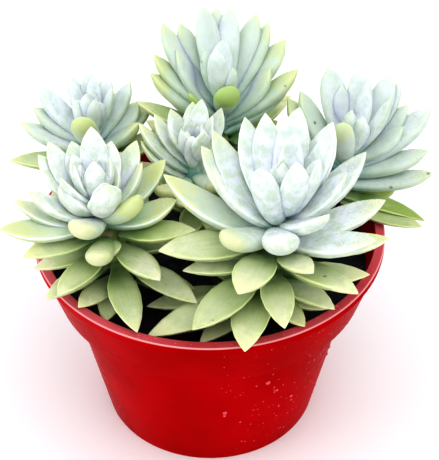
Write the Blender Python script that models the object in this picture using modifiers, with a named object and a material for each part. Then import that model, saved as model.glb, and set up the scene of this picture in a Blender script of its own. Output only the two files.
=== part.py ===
"""Potted sedeveria: six rosettes of thick pointed leaves on short stems, in a red plastic pot.

Units are metres and +Z is up. The origin is the middle of the pot's flat underside.
"""
import itertools
import math

import bmesh
import bpy
from mathutils import Matrix, Vector
from mathutils.bvhtree import BVHTree

MM = 0.001
GAP = 0.3 * MM  # air between pieces that touch

# Pot: a tapered body with a flared collar.
POT_HEIGHT = 69.5 * MM
RIM_RADIUS = 55.0 * MM
RIM_BAND = 3.0 * MM  # flat top of the rim, seen from above
RIM_DEPTH = 2.6 * MM
RIM_LIP = 0.9 * MM  # how far the rim stands proud of the collar
COLLAR_FOOT = 50.6 * MM  # height of the collar's lower edge
COLLAR_FOOT_RADIUS = 49.4 * MM
BODY_TOP_RADIUS = 45.2 * MM  # just below the collar
BASE_RADIUS = 35.4 * MM
WALL = 1.4 * MM
FLOOR = 1.6 * MM
TURNS = 40  # facets round the pot and the soil
DRAIN_HOLES = 5
DRAIN_RADIUS = 3.5 * MM
DRAIN_CIRCLE = 26.0 * MM

# Soil
SOIL_TOP = 59.0 * MM
SOIL_DOME = 1.5 * MM  # how much higher the soil is in the middle
DOME_SHOULDER = 0.7  # share of the soil's radius where the dome turns down
DOME_SHARE = 0.6  # share of the dome's rise that is left there
ROOT_DEPTH = 9.0 * MM  # how deep each stem stands in the soil
ROOT_AIR = 1.5 * GAP  # round a stem in the soil

# Stems
STEM_RADIUS = 3.8 * MM
STEM_TOP_RADIUS = 3.1 * MM
CORE_RADIUS = 3.9 * MM  # of a crown, where its leaves crowd
BUD_RADIUS = 2.4 * MM
STEM_SIDES = 10

# Leaves: (share of the length, share of the half width, share of the thickness)
LEAF_STATIONS = (
    (0.0, 0.0, 0.0),
    (0.02, 0.34, 0.5),
    (0.16, 0.6, 0.85),
    (0.33, 0.89, 1.0),
    (0.51, 1.0, 0.96),
    (0.69, 0.84, 0.78),
    (0.84, 0.5, 0.5),
    (0.95, 0.18, 0.2),
    (1.0, 0.0, 0.0),
)
CROWN_STATIONS = (
    (0.0, 0.0, 0.0),
    (0.03, 0.4, 0.55),
    (0.25, 0.72, 0.95),
    (0.55, 1.0, 1.0),
    (0.8, 0.74, 0.66),
    (0.94, 0.28, 0.3),
    (1.0, 0.0, 0.0),
)
LEAF_SIDES = 8
CROWN_SIDES = 6
CROWN_START = 0.5 * MM  # how far from the axis a crown leaf starts, inside the core
CROWN_THICKNESS = 0.5  # of the leaf's width
LEAF_THICKNESS = 0.44
BELLY = 0.74  # share of the thickness that lies below the leaf's margins
CROWN_SAG = 0.05  # how far a leaf bows below the line from its foot to its tip, of its length
LEAF_SAG = -0.01  # a lower leaf arches above that line
STEEPEST = 60  # degrees of rise that still move a leaf's start upwards
FOOT_GAP = 0.36 * MM  # between the stem's skin and the blunt foot of a leaf
FOOT_LEAN = 0.25  # share of the thickness that a rising foot needs on top
TRIES = tuple(range(-16, 17, 2))  # degrees a leaf may give way to its neighbours

# Each shoot stands on a straight axis from its foot on the soil to its top, in mm. Each leaf is
# (how far below the top it grows, compass direction from +X, rise, reach from the axis, width).
# The tight upper leaves grow together in the crown; the lower ones are pieces of their own.
SHOOTS = {
    "front_right": {
        "foot": (14, -28, 59),
        "top": (21, -28, 98),
        "crown_depth": 11,
        "crown": (
            (0, 210, 82, 17, 6), (0, 330, 78, 18, 6), (0, 90, 80, 16, 6), (1, 226, 70, 26, 8),
            (2, 338, 66, 23, 8), (2, 68, 70, 24, 8), (3, 73, 56, 32, 11), (4, 103, 54, 31, 10),
            (4, 45, 49, 32, 11), (3, 30, 57, 29, 9), (5, 118, 50, 32, 10), (7, 138, 43, 34, 10),
            (6, 190, 50, 29, 9), (8, 150, 41, 33, 10), (6, 22, 36, 33, 11), (5, 358, 46, 26, 10),
            (4, 306, 38, 26, 9), (9, 168, 27, 37, 12), (7, 272, 31, 22, 11), (8, 220, 24, 22, 10),
            (9, 5, 19, 33, 11), (9, 326, 22, 34, 12), (9, 349, 7, 33, 10),
        ),
        "leaves": (
            (13, 250, 13, 31, 11.5), (25, 259, 3, 34, 11.5), (17, 313, 12, 34, 10), (12, 195, 7, 34, 12),
            (20, 235, -3, 36, 11.5), (19, 276, 4, 31, 9.5), (14, 292, 20, 24, 8.5), (27, 212, -6, 39, 11),
            (24, 316, 5, 26, 8.5), (18, 202, 8, 27, 8.5), (23, 353, 3, 30, 9), (30, 300, 8, 23, 8),
            (32, 190, 2, 34, 10), (34, 228, 0, 26, 8), (31, 8, 6, 30, 8),
        ),
    },
    "front_left": {
        "foot": (-25, -19, 59),
        "top": (-32.5, -22, 95.5),
        "crown_depth": 10,
        "crown": (
            (0, 295, 60, 15, 7), (0, 218, 54, 18, 7), (0, 60, 78, 14, 6), (0, 170, 76, 14, 6),
            (1, 97, 62, 23, 9), (2, 125, 52, 21, 9), (2, 68, 58, 20, 9), (3, 150, 50, 25, 9),
            (4, 163, 45, 25, 9), (4, 46, 50, 24, 9), (4, 22, 48, 20, 8), (6, 202, 38, 26, 9),
            (7, 26, 38, 26, 9), (7, 355, 24, 24, 10), (5, 326, 42, 19, 9), (6, 250, 31, 19, 8),
            (8, 190, 26, 28, 9), (6, 204, 12, 31, 10), (7, 110, 25, 25, 9), (8, 70, 20, 25, 9),
        ),
        "leaves": (
            (12, 213, 19, 27, 9), (13, 268, 30, 25, 8), (12, 343, 16, 28, 9), (14, 306, 6, 27, 9.5),
            (17, 204, -2, 24, 8), (17, 236, 5, 28, 9), (23, 225, 2, 27, 8.5), (28, 242, 5, 23, 8),
            (21, 285, -6, 31, 9.5), (22, 322, -2, 31, 9), (14, 150, 8, 27, 9), (16, 90, 5, 26, 9),
        ),
    },
    "middle": {
        "foot": (-3, 0, 59),
        "top": (-5, 1, 95),
        "crown_depth": 10,
        "crown": (
            (0, 0, 80, 13, 5), (0, 120, 80, 13, 5), (0, 240, 78, 12, 5), (1, 91, 55, 22, 10),
            (1, 126, 55, 20, 9), (3, 150, 52, 21, 9), (2, 48, 50, 20, 9), (2, 65, 58, 18, 8),
            (5, 168, 44, 23, 9), (8, 173, 40, 21, 9), (3, 268, 63, 16, 8), (6, 5, 28, 22, 8),
            (6, 300, 25, 20, 8), (7, 235, 20, 20, 8), (7, 80, 40, 16, 7),
        ),
        "leaves": ((14, 265, 5, 22, 8), (14, 140, 5, 23, 9)),
    },
    "back": {
        "foot": (3, 18, 59),
        "top": (4, 25, 101.5),
        "crown_depth": 13,
        "crown": (
            (0, 89, 70, 18, 8), (0, 330, 80, 12, 6), (0, 210, 80, 12, 6), (2, 113, 60, 31, 10),
            (3, 96, 57, 31, 10), (3, 81, 58, 31, 10), (4, 56, 52, 32, 10), (4, 46, 47, 31, 9),
            (5, 132, 50, 31, 10), (4, 148, 48, 33, 10), (6, 30, 42, 31, 11), (6, 162, 39, 29, 9),
            (7, 154, 53, 26, 9), (9, 170, 36, 28, 10), (8, 18, 46, 23, 10), (9, 10, 36, 30, 10),
            (7, 294, 54, 19, 11), (9, 232, 60, 20, 9), (12, 16, 37, 29, 10), (9, 70, 25, 29, 10),
            (10, 110, 22, 29, 10), (10, 138, 15, 28, 10),
        ),
        "leaves": (
            (14, 172, 30, 29, 10), (14, 330, 18, 24, 11), (16, 40, 10, 30, 10), (18, 90, 3, 30, 10),
            (19, 145, 0, 30, 10),
        ),
    },
    "back_left": {
        "foot": (-30, 14, 59),
        "top": (-37, 18, 93.6),
        "crown_depth": 10,
        "crown": (
            (0, 330, 78, 12, 6), (0, 210, 76, 13, 6), (0, 90, 78, 13, 6), (4, 160, 44, 25, 10),
            (2, 125, 55, 20, 9), (2, 98, 60, 21, 9), (3, 68, 58, 21, 9), (4, 40, 48, 22, 9),
            (6, 30, 38, 20, 9), (5, 172, 33, 23, 9), (4, 260, 55, 20, 10), (6, 350, 38, 18, 9),
            (7, 180, 25, 26, 9), (7, 30, 30, 23, 9), (7, 110, 28, 25, 9), (8, 75, 22, 25, 9),
        ),
        "leaves": (
            (13, 196, 15, 29, 10), (12, 12, 24, 22, 9), (12, 290, 40, 20, 9), (13, 140, 10, 28, 10),
            (15, 95, 3, 27, 10), (15, 232, 5, 24, 9),
        ),
    },
    "back_right": {
        "foot": (35, 12, 59),
        "top": (45, 15, 88),
        "crown_depth": 14,
        "crown": (
            (0, 75, 64, 14, 6), (0, 200, 78, 12, 6), (0, 320, 78, 12, 6), (2, 115, 55, 29, 11),
            (2, 104, 58, 22, 9), (2, 78, 58, 28, 10), (3, 48, 49, 30, 11), (4, 38, 46, 30, 9),
            (3, 45, 45, 21, 9), (5, 25, 39, 27, 9), (6, 12, 35, 33, 12), (6, 142, 49, 28, 10),
            (7, 147, 42, 29, 10), (4, 3, 37, 21, 9), (4, 250, 66, 22, 9), (8, 355, 21, 28, 10),
            (10, 325, 18, 21, 8), (12, 347, 14, 31, 10), (7, 75, 25, 27, 9), (8, 115, 20, 27, 9),
        ),
        "leaves": (
            (16, 331, 0, 31, 8), (14, 50, 8, 28, 10), (14, 150, 10, 26, 9), (17, 95, 0, 28, 10),
            (16, 4, -2, 20, 7),
        ),
    },
}

# Finishes: base colour and roughness
GLOSSY_RED = ((0.55, 0.0, 0.01), 0.25)
DARK_PEAT = ((0.03, 0.022, 0.018), 0.95)
STEM_GREEN = ((0.32, 0.38, 0.16), 0.7)
POWDERY_PALE = ((0.62, 0.76, 0.74), 0.6)
LEAF_GREEN = ((0.45, 0.6, 0.25), 0.55)


def clear_scene():
    """Removes every object, so that only the plant and its pot are left."""
    for old in list(bpy.data.objects):
        bpy.data.objects.remove(old)


def new_collection(name):
    """Adds a collection to the scene."""
    made = bpy.data.collections.new(name)
    bpy.context.scene.collection.children.link(made)
    return made


def painted(thing, finish):
    """Gives an object a material of its own."""
    colour, roughness = finish
    material = bpy.data.materials.new(thing.name)
    material.use_nodes = True
    shader = material.node_tree.nodes["Principled BSDF"]
    shader.inputs["Base Color"].default_value = (*colour, 1.0)
    shader.inputs["Roughness"].default_value = roughness
    shader.inputs["Metallic"].default_value = 0.0
    thing.data.materials.append(material)
    return thing


def add_object(name, mesh, group):
    """Puts a mesh in the scene as a named object."""
    thing = bpy.data.objects.new(name, mesh)
    group.objects.link(thing)
    return thing


def add_cutter(name, mesh, group):
    """Adds a shape that only cuts or fills another."""
    thing = add_object(name, mesh, group)
    thing.hide_render = True
    thing.display_type = "WIRE"
    return thing


def mesh_of(shape, name):
    """Turns a bmesh into a smooth mesh."""
    mesh = bpy.data.meshes.new(name)
    shape.to_mesh(mesh)
    shape.free()
    mesh.shade_smooth()
    return mesh


def turned(name, profile, group):
    """Turns an open (radius, height) profile round the Z axis. It ends on the axis at both ends."""
    mesh = bpy.data.meshes.new(name)
    points = [(radius, 0.0, height) for radius, height in profile]
    mesh.from_pydata(points, [(i, i + 1) for i in range(len(points) - 1)], [])
    thing = add_object(name, mesh, group)
    screw = thing.modifiers.new("turn", "SCREW")
    screw.steps = TURNS
    screw.render_steps = TURNS
    screw.use_merge_vertices = True
    screw.merge_threshold = 0.00005
    screw.use_smooth_shade = True
    return thing


def cylinder_mesh(name, low_radius, high_radius, start, end, sides):
    """A closed cone frustum or cylinder from one point to another."""
    shape = bmesh.new()
    along = end - start
    place = Matrix.Translation((start + end) / 2) @ along.to_track_quat("Z", "Y").to_matrix().to_4x4()
    bmesh.ops.create_cone(
        shape,
        cap_ends=True,
        segments=sides,
        radius1=low_radius,
        radius2=high_radius,
        depth=along.length,
        matrix=place,
    )
    return mesh_of(shape, name)


def boolean(thing, operation, cutter):
    """Cuts an object with another, or joins a whole collection of shapes to it."""
    modifier = thing.modifiers.new(operation.lower(), "BOOLEAN")
    modifier.operation = operation
    modifier.solver = "EXACT"
    if isinstance(cutter, bpy.types.Collection):
        modifier.operand_type = "COLLECTION"
        modifier.collection = cutter
    else:
        modifier.object = cutter


def body_radius(height):
    """The outer radius of the pot's tapered body."""
    return BASE_RADIUS + (BODY_TOP_RADIUS - BASE_RADIUS) * height / COLLAR_FOOT


def make_pot(parts, cutters):
    """A one-piece moulded pot with a flared collar, a thick rim and drain holes."""
    rim_foot = POT_HEIGHT - RIM_DEPTH
    profile = (
        (0.0, FLOOR),
        (body_radius(FLOOR) - WALL, FLOOR),
        (BODY_TOP_RADIUS - WALL, COLLAR_FOOT),
        (COLLAR_FOOT_RADIUS - WALL, COLLAR_FOOT + WALL),
        (RIM_RADIUS - RIM_BAND, rim_foot),
        (RIM_RADIUS - RIM_BAND, POT_HEIGHT),
        (RIM_RADIUS, POT_HEIGHT),
        (RIM_RADIUS, rim_foot),
        (RIM_RADIUS - RIM_LIP, rim_foot - RIM_LIP / 2),
        (COLLAR_FOOT_RADIUS, COLLAR_FOOT),
        (BODY_TOP_RADIUS, COLLAR_FOOT - WALL),
        (BASE_RADIUS, 0.0),
        (0.0, 0.0),
    )
    pot = turned("pot", profile, parts)
    for number in range(DRAIN_HOLES):
        turn = 2 * math.pi * (number + 0.5) / DRAIN_HOLES
        centre = Vector((math.cos(turn), math.sin(turn), 0.0)) * DRAIN_CIRCLE
        below = centre - Vector((0.0, 0.0, FLOOR))
        above = centre + Vector((0.0, 0.0, 2 * FLOOR))
        name = f"drain_cutter_{number + 1}"
        mesh = cylinder_mesh(name, DRAIN_RADIUS, DRAIN_RADIUS, below, above, STEM_SIDES)
        boolean(pot, "DIFFERENCE", add_cutter(name, mesh, cutters))
    painted(pot, GLOSSY_RED)
    return pot


def make_soil(parts):
    """The root ball, which fills the pot to just below its rim."""
    rise = (SOIL_TOP - COLLAR_FOOT - WALL) / (POT_HEIGHT - RIM_DEPTH - COLLAR_FOOT - WALL)
    collar_low = COLLAR_FOOT_RADIUS - WALL
    edge = collar_low + (RIM_RADIUS - RIM_BAND - collar_low) * rise
    profile = (
        (0.0, SOIL_TOP + SOIL_DOME),
        (edge * DOME_SHOULDER, SOIL_TOP + SOIL_DOME * DOME_SHARE),
        (edge - 2 * GAP, SOIL_TOP),
        (collar_low - 2 * GAP, COLLAR_FOOT + WALL + GAP),
        (BODY_TOP_RADIUS - WALL - 2 * GAP, COLLAR_FOOT + GAP),
        (body_radius(FLOOR) - WALL - 2 * GAP, FLOOR + GAP),
        (0.0, FLOOR + GAP),
    )
    return painted(turned("soil", profile, parts), DARK_PEAT)


def leaf_mesh(name, length, width, thickness, sag, sides, stations):
    """A thick pointed leaf along +X, upper side up, with its blunt foot at the origin."""
    rings = len(stations) - 1
    shape = bmesh.new()
    bmesh.ops.create_uvsphere(shape, u_segments=sides, v_segments=rings, radius=1.0)
    for vert in shape.verts:
        height = max(-1.0, min(1.0, vert.co.z))
        along, half_width, deep = stations[round(math.acos(-height) / math.pi * rings)]
        side = Vector((vert.co.x, vert.co.y))
        if side.length > 0:
            side.normalize()
        share = BELLY if side.y < 0 else 1 - BELLY
        drop = 4 * sag * length * along * (1 - along)
        vert.co.x = along * length
        vert.co.y = side.x * half_width * width / 2
        vert.co.z = side.y * share * deep * thickness - drop
    return mesh_of(shape, name)


def leaf_place(start, azimuth, rise):
    """Turns a leaf from lying along +X to its compass direction and rise, in degrees."""
    turn = Matrix.Rotation(math.radians(azimuth), 4, "Z")
    lift = Matrix.Rotation(math.radians(-rise), 4, "Y")
    return Matrix.Translation(start) @ turn @ lift


def tree_of(mesh, place):
    """A search tree of a mesh where it stands."""
    points = [place @ vert.co for vert in mesh.vertices]
    return BVHTree.FromPolygons(points, [tuple(face.vertices) for face in mesh.polygons])


class Shoot:
    """One rosette on its stem."""

    def __init__(self, name, plan):
        self.name = name
        self.foot = Vector(plan["foot"]) * MM
        self.top = Vector(plan["top"]) * MM
        self.axis = (self.top - self.foot).normalized()
        self.split = self.top - self.axis * plan["crown_depth"] * MM
        self.crown = plan["crown"]
        self.leaves = plan["leaves"]

    def root(self):
        """Where the stem ends in the soil."""
        return self.foot - self.axis * ROOT_DEPTH

    def skin(self, down):
        """The radius of the stem, or of the crown's core, at a distance below the top."""
        split = (self.top - self.split).length / MM
        if down < split:
            return BUD_RADIUS + (CORE_RADIUS - BUD_RADIUS) * down / split
        bare = (self.split - self.root()).length / MM
        return STEM_TOP_RADIUS + (STEM_RADIUS - STEM_TOP_RADIUS) * (down - split) / bare

    def leaf_start(self, down, azimuth, rise, clearance):
        """The point at a horizontal distance from the axis, on a leaf's own line."""
        turn = math.radians(azimuth)
        lift = math.tan(math.radians(min(rise, STEEPEST)))
        outward = Vector((math.cos(turn), math.sin(turn), lift))
        return self.top - self.axis * down * MM + outward * clearance


def make_stem(shoot, parts):
    """The bare lower stem, from inside the soil to the crown."""
    end = shoot.split - shoot.axis * GAP
    mesh = cylinder_mesh(f"{shoot.name}_stem", STEM_RADIUS, STEM_TOP_RADIUS, shoot.root(), end, STEM_SIDES)
    return painted(add_object(mesh.name, mesh, parts), STEM_GREEN)


def make_crown(shoot, parts, cutters):
    """The growing tip with its tight upper leaves, joined to one solid."""
    name = f"{shoot.name}_crown"
    tip = shoot.top + shoot.axis * BUD_RADIUS
    mesh = cylinder_mesh(name, CORE_RADIUS, BUD_RADIUS, shoot.split, tip, STEM_SIDES)
    crown = add_object(name, mesh, parts)
    group = bpy.data.collections.new(f"{name}_leaves")
    cutters.children.link(group)
    trees = [tree_of(mesh, Matrix())]
    for number, (down, azimuth, rise, reach, width) in enumerate(shoot.crown):
        leaf_name = f"{name}_leaf_{number + 1:02d}"
        wide = width * MM
        thick = CROWN_THICKNESS * wide
        length = reach * MM - CROWN_START
        leaf = leaf_mesh(leaf_name, length, wide, thick, CROWN_SAG, CROWN_SIDES, CROWN_STATIONS)
        thing = add_cutter(leaf_name, leaf, group)
        start = shoot.leaf_start(down, azimuth, rise, CROWN_START)
        thing.matrix_world = leaf_place(start, azimuth, rise)
        trees.append(tree_of(leaf, thing.matrix_world))
    boolean(crown, "UNION", group)
    painted(crown, POWDERY_PALE)
    return trees


def free_place(shoot, name, row, trees):
    """A leaf's free place, nearest to the planned one, and its length, width and thickness."""
    down, azimuth, rise, reach, width = row
    wide = width * MM
    thick = LEAF_THICKNESS * wide
    margin = 2 * GAP
    length = reach * MM - shoot.skin(down)
    grown = (length + margin, wide + margin, thick + margin)
    trial = leaf_mesh(name, *grown, LEAF_SAG, LEAF_SIDES, LEAF_STATIONS)
    turns = sorted(itertools.product(TRIES, TRIES), key=lambda pair: abs(pair[0]) + abs(pair[1]))
    for swing, lift in turns:
        lean = abs(math.sin(math.radians(rise + lift)))
        clearance = shoot.skin(down) + FOOT_GAP + FOOT_LEAN * thick * lean
        start = shoot.leaf_start(down, azimuth + swing, rise + lift, clearance)
        place = leaf_place(start, azimuth + swing, rise + lift)
        tree = tree_of(trial, place)
        if not any(tree.overlap(other) for other in trees):
            bpy.data.meshes.remove(trial)
            print(f"{name}: gave way {swing} and {lift} degrees")
            return place, (length, wide, thick)
    raise RuntimeError(f"no room for {name}")


def make_leaves(shoot, parts, trees):
    """The lower leaves, each a piece of its own that stands clear of what is already there."""
    for number, row in enumerate(shoot.leaves):
        name = f"{shoot.name}_leaf_{number + 1:02d}"
        place, size = free_place(shoot, name, row, trees)
        mesh = leaf_mesh(name, *size, LEAF_SAG, LEAF_SIDES, LEAF_STATIONS)
        leaf = add_object(name, mesh, parts)
        leaf.matrix_world = place
        trees.append(tree_of(mesh, place))
        painted(leaf, LEAF_GREEN)


def main():
    clear_scene()
    parts = new_collection("potted_sedeveria")
    cutters = new_collection("cutters")
    make_pot(parts, cutters)
    soil = make_soil(parts)
    shoots = [Shoot(name, plan) for name, plan in SHOOTS.items()]
    trees = []
    for shoot in shoots:
        stem = make_stem(shoot, parts)
        trees.append(tree_of(stem.data, Matrix()))
        trees += make_crown(shoot, parts, cutters)
        name = f"{shoot.name}_root_cutter"
        above = shoot.foot + shoot.axis * ROOT_DEPTH
        below = shoot.root() - shoot.axis * GAP
        wide = STEM_RADIUS + ROOT_AIR
        hole = cylinder_mesh(name, wide, wide, below, above, STEM_SIDES)
        boolean(soil, "DIFFERENCE", add_cutter(name, hole, cutters))
    graph = bpy.context.evaluated_depsgraph_get()
    for name in ("pot", "soil"):
        solid = bpy.data.objects[name].evaluated_get(graph)
        trees.append(tree_of(solid.data, Matrix()))
    for shoot in shoots:
        make_leaves(shoot, parts, trees)


main()
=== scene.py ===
# %% [markdown]
# # A potted sedeveria
#
# A sedeveria is a small succulent. Its shoots end in rosettes of thick, pointed leaves, and a fine
# white powder covers the young ones. Here six rosettes crowd in a red plastic nursery pot. The
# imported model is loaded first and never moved: it says where the pot, the stems, the crowns and the
# lower leaves are, and every cell below makes the fine shape and the finish of one of them.

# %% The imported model
import math
import random

import bmesh
import bpy
import numpy as np
from mathutils import Matrix, Vector
from mathutils.bvhtree import BVHTree


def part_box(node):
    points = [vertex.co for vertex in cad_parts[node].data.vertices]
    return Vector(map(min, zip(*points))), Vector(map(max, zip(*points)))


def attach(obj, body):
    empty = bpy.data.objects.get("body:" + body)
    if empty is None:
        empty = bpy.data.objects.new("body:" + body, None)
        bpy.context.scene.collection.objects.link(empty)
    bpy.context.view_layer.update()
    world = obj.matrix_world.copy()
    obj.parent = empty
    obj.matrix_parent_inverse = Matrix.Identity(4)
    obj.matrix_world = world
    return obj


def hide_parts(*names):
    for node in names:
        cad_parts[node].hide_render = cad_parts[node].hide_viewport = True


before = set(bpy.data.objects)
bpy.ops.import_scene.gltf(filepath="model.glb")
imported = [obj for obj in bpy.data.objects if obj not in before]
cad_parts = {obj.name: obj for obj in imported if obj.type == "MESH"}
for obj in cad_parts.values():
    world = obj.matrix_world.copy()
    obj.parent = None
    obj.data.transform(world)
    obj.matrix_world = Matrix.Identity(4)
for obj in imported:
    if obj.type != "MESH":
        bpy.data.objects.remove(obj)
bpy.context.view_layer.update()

# %% [markdown]
# ## Camera, floor and light
#
# The camera looks down on the plant at about 39 degrees with a long lens, so near and far rosettes
# keep their true sizes. The light is a bright, soft studio: a pale surround, one large lamp above,
# in front and to the right, and a weaker one on the left that lifts the shadows on that side.

# %% Camera
MM = 0.001
pot_low, pot_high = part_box("pot")
rim_centre = Vector(((pot_low[0] + pot_high[0]) / 2, (pot_low[1] + pot_high[1]) / 2, pot_high[2]))
CAMERA_RISE = math.radians(39.3)
CAMERA_DISTANCE = 400 * MM
AIM_RIGHT = 3.1 * MM  # how far the view's middle lies to the right of the rim's centre
AIM_DOWN = 1.32 * MM  # how far it lies below the rim's centre
FOCAL_LENGTH = 99.4
SENSOR_WIDTH = 36

towards_camera = Vector((0, -math.cos(CAMERA_RISE), math.sin(CAMERA_RISE)))
camera_up = Vector((0, math.sin(CAMERA_RISE), math.cos(CAMERA_RISE)))
aim = rim_centre + towards_camera * CAMERA_DISTANCE + Vector((AIM_RIGHT, 0, 0))
bpy.ops.object.camera_add(
    location=aim - camera_up * AIM_DOWN, rotation=(math.pi / 2 - CAMERA_RISE, 0, 0)
)
camera = bpy.context.object
camera.data.lens = FOCAL_LENGTH
camera.data.sensor_width = SENSOR_WIDTH
camera.data.clip_start = 10 * MM
bpy.context.scene.camera = camera
print("camera", tuple(round(value, 3) for value in camera.location))

# %% Floor
FLOOR_SIZE = 6.0
FLOOR_COLOUR = (0.86, 0.86, 0.86)


def nothing_selected():
    """Leaves edit mode and deselects every object."""
    if bpy.context.object and bpy.context.object.mode != "OBJECT":
        bpy.ops.object.mode_set(mode="OBJECT")
    bpy.ops.object.select_all(action="DESELECT")


def plain_material(name, colour, roughness):
    """A material with a Principled shader, for its node tree to be built on."""
    made = bpy.data.materials.new(name)
    made.use_nodes = True
    shader = made.node_tree.nodes["Principled BSDF"]
    shader.inputs["Base Color"].default_value = (*colour, 1)
    shader.inputs["Roughness"].default_value = roughness
    return made


nothing_selected()
bpy.ops.mesh.primitive_plane_add(size=FLOOR_SIZE, location=(0, 0, pot_low[2]))
floor = bpy.context.object
floor.name = "floor"
floor.data.materials.append(plain_material("pale_floor", FLOOR_COLOUR, roughness=0.7))
print(floor.name, FLOOR_SIZE, "m wide")

# %% Light
surround = bpy.data.worlds.new("studio")
surround.use_nodes = True
glow = surround.node_tree.nodes["Background"]
glow.inputs["Color"].default_value = (0.95, 0.97, 1.0, 1)
glow.inputs["Strength"].default_value = 0.87
bpy.context.scene.world = surround
bpy.context.scene.view_settings.view_transform = "Standard"
bpy.context.scene.view_settings.look = "High Contrast"


def add_lamp(name, azimuth, rise, distance, size, watts, colour):
    """A square soft lamp that faces the plant from a compass direction and a rise, in degrees."""
    turn, lift = math.radians(azimuth), math.radians(rise)
    way = Vector((math.cos(turn) * math.cos(lift), math.sin(turn) * math.cos(lift), math.sin(lift)))
    place = rim_centre + way * distance
    bpy.ops.object.light_add(type="AREA", location=place)
    lamp = bpy.context.object
    lamp.name = name
    lamp.data.shape = "SQUARE"
    lamp.data.size = size
    lamp.data.energy = watts
    lamp.data.color = colour
    lamp.rotation_euler = way.to_track_quat("Z", "Y").to_euler()
    print(name, tuple(round(value, 2) for value in place))


add_lamp("key_lamp", 300, 62, distance=1.1, size=0.7, watts=2.2, colour=(1.0, 0.99, 0.98))
add_lamp("left_lamp", 200, 30, distance=1.0, size=0.6, watts=1.5, colour=(0.98, 0.98, 1.0))

# %% [markdown]
# ## One leaf
#
# A leaf is thick and juicy, with a deep round belly, a nearly flat upper side with a shallow
# channel, fairly sharp margins and a short point. It could be sculpted, but a loft is easier to
# steer: a ring of points is extruded along the leaf and resized at each station, the end ring is
# merged to a point, and Subdivision Surface rounds the whole. Four blanks are modelled: a slim,
# sharp-edged lower leaf, a fuller crown leaf, a finger-shaped one with parallel sides, and a short
# one with a blunt, round end. Each carries three attributes that the finish reads later: how far
# along the leaf a point lies, how far across, and on which side.

# %% Sections and outlines
RING_POINTS = 10
SECTIONS = {  # share of the thickness above the margins, height of its middle, sharpness of margins
    "lower": (0.2, 0.45, 0.7),
    "crown": (0.25, 0.55, 0.5),
    "finger": (0.36, 0.75, 0.3),
    "blunt": (0.42, 0.85, 0.1),
}
OUTLINES = {  # at each station, share of the length, of the width and of the thickness
    "lower": (
        (0.0, 0.32, 0.45), (0.05, 0.42, 0.66), (0.17, 0.62, 0.88), (0.33, 0.91, 1.0), (0.5, 1.0, 0.97),
        (0.67, 0.88, 0.8), (0.82, 0.6, 0.56), (0.92, 0.3, 0.32), (0.975, 0.11, 0.14),
    ),
    "crown": (
        (0.0, 0.38, 0.5), (0.06, 0.5, 0.7), (0.22, 0.72, 0.95), (0.41, 0.93, 1.0), (0.58, 1.0, 0.97),
        (0.74, 0.88, 0.82), (0.86, 0.6, 0.58), (0.94, 0.3, 0.34), (0.98, 0.1, 0.13),
    ),
    "finger": (
        (0.0, 0.48, 0.52), (0.06, 0.58, 0.72), (0.22, 0.78, 0.94), (0.42, 0.95, 1.0), (0.6, 1.0, 1.0),
        (0.76, 0.9, 0.88), (0.87, 0.63, 0.65), (0.94, 0.28, 0.34), (0.98, 0.08, 0.12),
    ),
    "blunt": (
        (0.0, 0.45, 0.5), (0.06, 0.56, 0.72), (0.22, 0.76, 0.92), (0.42, 0.92, 1.0), (0.62, 1.0, 1.0),
        (0.79, 0.96, 0.94), (0.91, 0.72, 0.74), (0.97, 0.42, 0.46), (0.992, 0.16, 0.2),
    ),
}
print("stations of each leaf", {kind: len(stations) for kind, stations in OUTLINES.items()})

# %% Points, selections and modifiers
def read_points(mesh):
    """The places of a mesh's points, one row each."""
    place = np.empty(len(mesh.vertices) * 3)
    mesh.vertices.foreach_get("co", place)
    return place.reshape(-1, 3)


def move_points(mesh, points):
    """Gives a mesh's points new places."""
    mesh.vertices.foreach_set("co", points.astype(np.float32).ravel())
    mesh.update()


def note_points(mesh, name, values):
    """Notes a number on each point of a mesh, for a material to read."""
    note = mesh.attributes.new(name, "FLOAT", "POINT")
    note.data.foreach_set("value", values.astype(np.float32))


def select_points(piece, wanted):
    """In edit mode, selects just the points whose position passes a test."""
    shape = bmesh.from_edit_mesh(piece.data)
    for vert in shape.verts:
        vert.select_set(False)
    for vert in shape.verts:
        if wanted(vert.co):
            vert.select_set(True)
    shape.select_flush(True)
    bmesh.update_edit_mesh(piece.data)


def apply_modifier(piece, kind, **settings):
    """Adds a modifier with the operator, sets it and applies it."""
    nothing_selected()
    piece.select_set(True)
    bpy.context.view_layer.objects.active = piece
    bpy.ops.object.modifier_add(type=kind)
    modifier = piece.modifiers[-1]
    for key, value in settings.items():
        setattr(modifier, key, value)
    bpy.ops.object.modifier_apply(modifier=modifier.name)


def edit_all():
    """Enters edit mode with everything selected."""
    bpy.ops.object.mode_set(mode="EDIT")
    bpy.ops.mesh.select_all(action="SELECT")


def face_outwards():
    """In edit mode, turns every face outwards."""
    bpy.ops.mesh.select_all(action="SELECT")
    bpy.ops.mesh.normals_make_consistent(inside=False)


# %% Marks on a leaf
ROUND_EDGED = 0.3  # a leaf with more than this share above its margins has no sharp edge
ROUND_EDGE = 0.8  # how far across such a leaf's edge counts, where a sharp margin is 1
BELLY_STARTS = -0.05  # the height where the under side starts, in shares of the thickness


def mark_leaf(mesh, kind):
    """Notes on each point its place along, across and above or below the leaf."""
    x, y, z = read_points(mesh).T
    reach, wide, deep = np.array(OUTLINES[kind]).T
    half = np.interp(x, reach, wide) / 2
    edge = ROUND_EDGE if SECTIONS[kind][0] > ROUND_EDGED else 1.0
    belly = BELLY_STARTS * np.interp(x, reach, deep)
    note_points(mesh, "leaf_along", x)
    note_points(mesh, "leaf_across", y / half * edge)
    note_points(mesh, "leaf_upper", np.where(z > 0, 1.0, np.where(z < belly, 0.0, 0.5)))


# %% The leaf blanks
OFF_MARGIN = 0.01  # a ring's point this far above or below its middle isn't on a margin
CHANNEL_REACH = 0.25  # how far from the leaf's middle line the channel's points lie
ON_MARGIN = 1e-5
LEAF_CENTRE = (0, 0, 0)


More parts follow.
